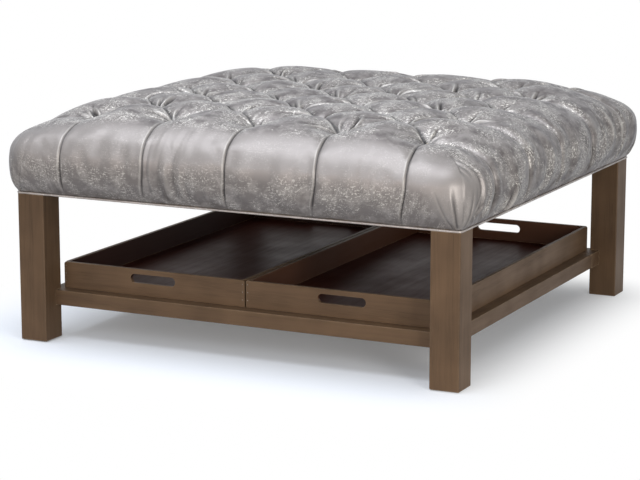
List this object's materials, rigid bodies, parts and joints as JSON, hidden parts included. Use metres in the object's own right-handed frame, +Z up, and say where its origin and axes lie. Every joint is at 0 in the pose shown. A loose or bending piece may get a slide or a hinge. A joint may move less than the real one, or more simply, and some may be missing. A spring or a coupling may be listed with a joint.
{
  "type": "ottoman coffee table",
  "caption": "Square ottoman coffee table: a deep diamond-tufted fabric top on straight wooden legs, with a low shelf holding loose wooden trays with hand slots.",
  "frame": {"origin": "on the floor, under the middle of the table", "axes": "+Z up, -Y towards the front, +X to the right as seen from the front; the trays slide along Y"},
  "size_m": [1.094, 1.094, 0.512],
  "materials": {
    "frame_wood": "warm grey-brown stained hardwood, satin, with lightly worn edges",
    "shelf_wood": "the same stained hardwood, satin",
    "shelf_panel_wood": "veneered panel with the same stain, satin",
    "dowel_wood": "plain beech dowel",
    "tray_wood": "the same stain on thin solid wood, satin, with worn edges",
    "tray_bottom_wood": "dark red-brown stained ply, satin",
    "deck_softwood": "bare planed softwood",
    "deck_plywood": "bare plywood",
    "zinc_steel": "zinc-plated steel",
    "glide_nickel": "dull nickel-plated steel",
    "cover_fabric": "grey-beige woven upholstery with a pale worn fleck pattern and a soft sheen",
    "welt_fabric": "the same fabric sewn round a cord",
    "foam": "polyurethane foam",
    "twine": "waxed linen twine",
    "washer_board": "pressed fibreboard",
    "dust_cloth": "black spun cloth"
  },
  "bodies": {
    "table": {"corner_block_screws": "zinc_steel", "corner_blocks": "deck_softwood", "deck_board": "deck_plywood", "deck_board_screws": "zinc_steel", "deck_cross_rail_left": "deck_softwood", "deck_cross_rail_right": "deck_softwood", "deck_rail_back": "deck_softwood", "deck_rail_front": "deck_softwood", "deck_rail_left": "deck_softwood", "deck_rail_right": "deck_softwood", "dust_cover": "dust_cloth", "dust_cover_staples": "zinc_steel", "leg_back_left": "frame_wood", "leg_back_right": "frame_wood", "leg_bolt_nuts": "zinc_steel", "leg_bolt_washers": "zinc_steel", "leg_bolts": "zinc_steel", "leg_front_left": "frame_wood", "leg_front_right": "frame_wood", "leg_glides": "glide_nickel", "seat_foam": "foam", "shelf_leg_dowels": "dowel_wood", "shelf_panel": "shelf_panel_wood", "shelf_panel_screws": "zinc_steel", "shelf_rail_back": "shelf_wood", "shelf_rail_dowels": "dowel_wood", "shelf_rail_front": "shelf_wood", "shelf_rail_left": "shelf_wood", "shelf_rail_right": "shelf_wood", "tuft_twines": "twine", "tuft_washers": "washer_board", "tufted_cushion": "cover_fabric", "welt": "welt_fabric"},
    "left_tray": {"left_tray_back_wall": "tray_wood", "left_tray_bottom": "tray_bottom_wood", "left_tray_brads": "zinc_steel", "left_tray_front_wall": "tray_wood", "left_tray_left_wall": "tray_wood", "left_tray_right_wall": "tray_wood"},
    "right_tray": {"right_tray_back_wall": "tray_wood", "right_tray_bottom": "tray_bottom_wood", "right_tray_brads": "zinc_steel", "right_tray_front_wall": "tray_wood", "right_tray_left_wall": "tray_wood", "right_tray_right_wall": "tray_wood"}
  },
  "joints": [
    {"name": "left_tray_slide", "type": "slide", "parent": "table", "child": "left_tray", "axis": [0, 1, 0], "range_m": [-1, 1]},
    {"name": "right_tray_slide", "type": "slide", "parent": "table", "child": "right_tray", "axis": [0, 1, 0], "range_m": [-1, 1]}
  ]
}
